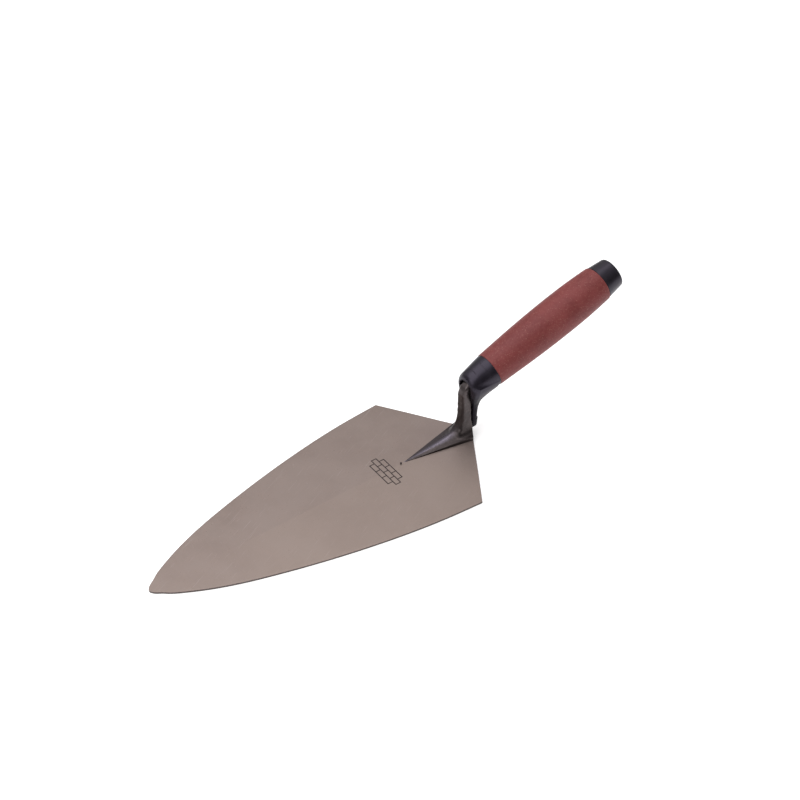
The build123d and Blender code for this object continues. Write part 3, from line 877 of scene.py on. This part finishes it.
def forged_steel():
    """Dark forging: scale and pits on the shank, a polished crest along the heel with a painted bluish highlight."""
    mat, nt, b = new_material("dark_forged_steel")
    g = Graph(nt)
    x, y, z = g.xyz(g.mm)
    cloud = g.noise(g.mm, 0.12, 4.0, 0.6, 0.5)
    scale = g.noise(g.mm, 0.55, 5.0, 0.65, 0.3)
    pit = g.ramp(g.voronoi(g.mm, 0.75), 0.10, 0.24, 1.0, 0.0)
    pit = g.math("MULTIPLY", pit, g.ramp(g.noise(g.mm, 0.21, 2.0), 0.48, 0.62))
    # brightness follows the height: dark flare, lighter shank and bend; along the polished crest of the heel a painted
    # bluish highlight
    up = g.ramp(z, 16.0, 44.0)
    foot = g.math("MULTIPLY", g.ramp(z, 17.0, 8.5), g.ramp(z, 1.5, 3.0))
    base = g.mix(g.ramp(cloud, 0.3, 0.7), (0.052, 0.042, 0.042), (0.076, 0.062, 0.061))
    base = g.mix(g.math("MULTIPLY", up, g.ramp(cloud, 0.2, 0.8, 0.6, 1.0)), base, (0.100, 0.083, 0.084))
    d = g.math("SUBTRACT", x, TIP_X)
    along = g.ramp(d, 266.0, 252.0)
    # painted highlight: the middle of the heel's crest is painted lighter and bluish, like the glint it catches; its
    # lower roughness further down is real polish
    crest = g.math("MULTIPLY", along, g.ramp(g.math("ABSOLUTE", g.math("DIVIDE", y, g.math("MAXIMUM", g.math("MULTIPLY", g.math("SUBTRACT", d, 214.7), 0.2063), 0.8))), 0.55, 0.12))
    base = g.mix(g.math("MULTIPLY", crest, 0.75), base, (0.152, 0.134, 0.172))
    # painted shade: the heel's far flank is painted darker, as it lies in shade
    painted_shade_far_flank = g.math("MULTIPLY", along, g.ramp(y, -0.5, 2.0))
    base = g.mix(g.math("MULTIPLY", painted_shade_far_flank, 0.60), base, (0.085, 0.070, 0.077))
    speck = g.ramp(g.noise(g.mm, 1.6, 2.0, 0.6), 0.66, 0.76)
    speck = g.math("MULTIPLY", speck, g.math("MULTIPLY", g.ramp(z, 7.0, 11.0), g.ramp(z, 19.0, 14.0)))
    base = g.mix(g.math("MULTIPLY", speck, 0.55), base, (0.42, 0.38, 0.36))
    base = g.mix(g.ramp(scale, 0.45, 0.80, 0.0, 0.45), base, (0.055, 0.043, 0.042))
    g.link(base, b.inputs["Base Color"])
    b.inputs["Metallic"].default_value = 0.80
    rough = g.ramp(scale, 0.25, 0.8, 0.30, 0.50)
    rough = g.math("SUBTRACT", rough, g.math("MULTIPLY", crest, 0.09))
    rough = g.math("ADD", rough, g.math("MULTIPLY", pit, 0.10))
    g.link(rough, b.inputs["Roughness"])
    h = g.math("SUBTRACT", g.math("ADD", g.math("MULTIPLY", scale, 0.8), g.math("MULTIPLY", cloud, 0.8)), g.math("MULTIPLY", pit, 0.45))
    amount = g.math("SUBTRACT", 1.0, g.math("MULTIPLY", crest, 0.75))
    g.link(g.bump(g.math("MULTIPLY", h, amount), 0.00016, 0.55), b.inputs["Normal"])
    return mat


def black_plastic(name, base_a, base_b, rough_a, rough_b, scuff):
    mat, nt, b = new_material(name)
    g = Graph(nt)
    cloud = g.noise(g.mm, 0.10, 4.0, 0.6, 0.3)
    grain = g.noise(g.mm, 2.4, 3.0, 0.55)
    rub = g.ramp(g.noise(g.mm, 0.45, 5.0, 0.7, 0.8), 0.58, 0.78)
    base = g.mix(g.ramp(cloud, 0.3, 0.7), base_a, base_b)
    base = g.mix(g.math("MULTIPLY", rub, scuff), base, (0.085, 0.080, 0.088))
    g.link(base, b.inputs["Base Color"])
    g.link(g.math("ADD", g.ramp(cloud, 0.25, 0.75, rough_a, rough_b), g.math("MULTIPLY", rub, 0.08)), b.inputs["Roughness"])
    # painted shade: reflection is turned well down towards the bottom, darkening the finger guard and the throat behind
    # the shank where they lie in shade
    x, y, z = g.xyz(g.mm)
    g.link(g.ramp(z, 35.0, 44.0, 0.08, 0.50), b.inputs["Specular IOR Level"])
    b.inputs["Specular Tint"].default_value = (0.86, 0.77, 1.0, 1.0)
    g.link(g.bump(g.math("ADD", grain, g.math("MULTIPLY", cloud, 0.6)), 0.00003, 0.5), b.inputs["Normal"])
    return mat


def rubber_grip():
    """Red-brown rubber with a fine leathery grain and small pale speckles."""
    mat, nt, b = new_material("red_brown_rubber")
    g = Graph(nt)
    cloud = g.noise(g.mm, 0.06, 4.0, 0.6, 0.4)
    mottle = g.noise(g.mm, 0.42, 5.0, 0.65, 0.5)
    dots = g.voronoi(g.mm, 0.85)
    dot = g.ramp(dots, 0.16, 0.30, 1.0, 0.0)
    dot = g.math("MULTIPLY", dot, g.ramp(g.noise(g.mm, 0.75, 2.0, 0.5), 0.42, 0.60))
    grain = g.noise(g.mm, 1.9, 4.0, 0.65)
    base = g.mix(g.ramp(cloud, 0.3, 0.7), (0.172, 0.036, 0.034), (0.222, 0.050, 0.047))
    base = g.mix(g.ramp(mottle, 0.35, 0.75, 0.0, 0.55), base, (0.255, 0.072, 0.066))
    base = g.mix(g.ramp(grain, 0.55, 0.80, 0.0, 0.45), base, (0.100, 0.026, 0.026))
    base = g.mix(g.math("MULTIPLY", dot, 0.55), base, (0.430, 0.215, 0.165))
    g.link(base, b.inputs["Base Color"])
    rough = g.ramp(cloud, 0.25, 0.75, 0.46, 0.56)
    g.link(g.math("ADD", rough, g.ramp(grain, 0.2, 0.8, -0.04, 0.06)), b.inputs["Roughness"])
    b.inputs["Specular IOR Level"].default_value = 0.36
    b.inputs["Specular Tint"].default_value = (1.0, 0.72, 0.76, 1.0)
    h = g.math("ADD", g.math("MULTIPLY", grain, 0.7), g.math("ADD", g.math("MULTIPLY", mottle, 0.7), g.math("MULTIPLY", dot, 0.5)))
    g.link(g.bump(h, 0.00010, 0.6), b.inputs["Normal"])
    return mat


# ------------------------------------------------------------------ the pieces
def stand_in(obj, node, mats):
    """Hangs a finished mesh on the body, in place of its CAD node."""
    slots = np.zeros(len(obj.data.polygons), np.int32)
    obj.data.polygons.foreach_get("material_index", slots)
    obj.data.materials.clear()
    for m in mats:
        obj.data.materials.append(m)
    obj.data.polygons.foreach_set("material_index", np.minimum(slots, len(mats) - 1))
    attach(obj, "root")
    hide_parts(node)


plate = engrave(shade(make_plate(), 35), make_motif_cutter())
forging = shade(make_forging(), 38)
core = make_core()
core = engrave(shade(core, 32), witness_cutter())
grip = engrave(shade(make_grip(), 35), gate_cutter())
cap = shade(make_cap(), 35)

steel, edge_mat, stamped, forged = ground_steel(), edge_steel(), stamped_steel(), forged_steel()
core_mat = black_plastic("core_black_plastic", (0.0075, 0.0060, 0.0088), (0.0125, 0.0105, 0.0150), 0.31, 0.40, 0.08)
cap_mat = black_plastic("cap_black_plastic", (0.009, 0.008, 0.010), (0.015, 0.0135, 0.0165), 0.30, 0.38, 0.12)
line_mat = black_plastic("witness_line_black", (0.003, 0.003, 0.004), (0.006, 0.006, 0.007), 0.5, 0.6, 0.0)
rubber = rubber_grip()
stand_in(plate, "forged_blade", [steel, edge_mat, steel, stamped])
stand_in(forging, "forged_blade", [forged])
stand_in(core, "handle_core", [core_mat, core_mat, core_mat, line_mat])
stand_in(grip, "grip_sleeve", [rubber, rubber, rubber, rubber])
stand_in(cap, "end_cap", [cap_mat])
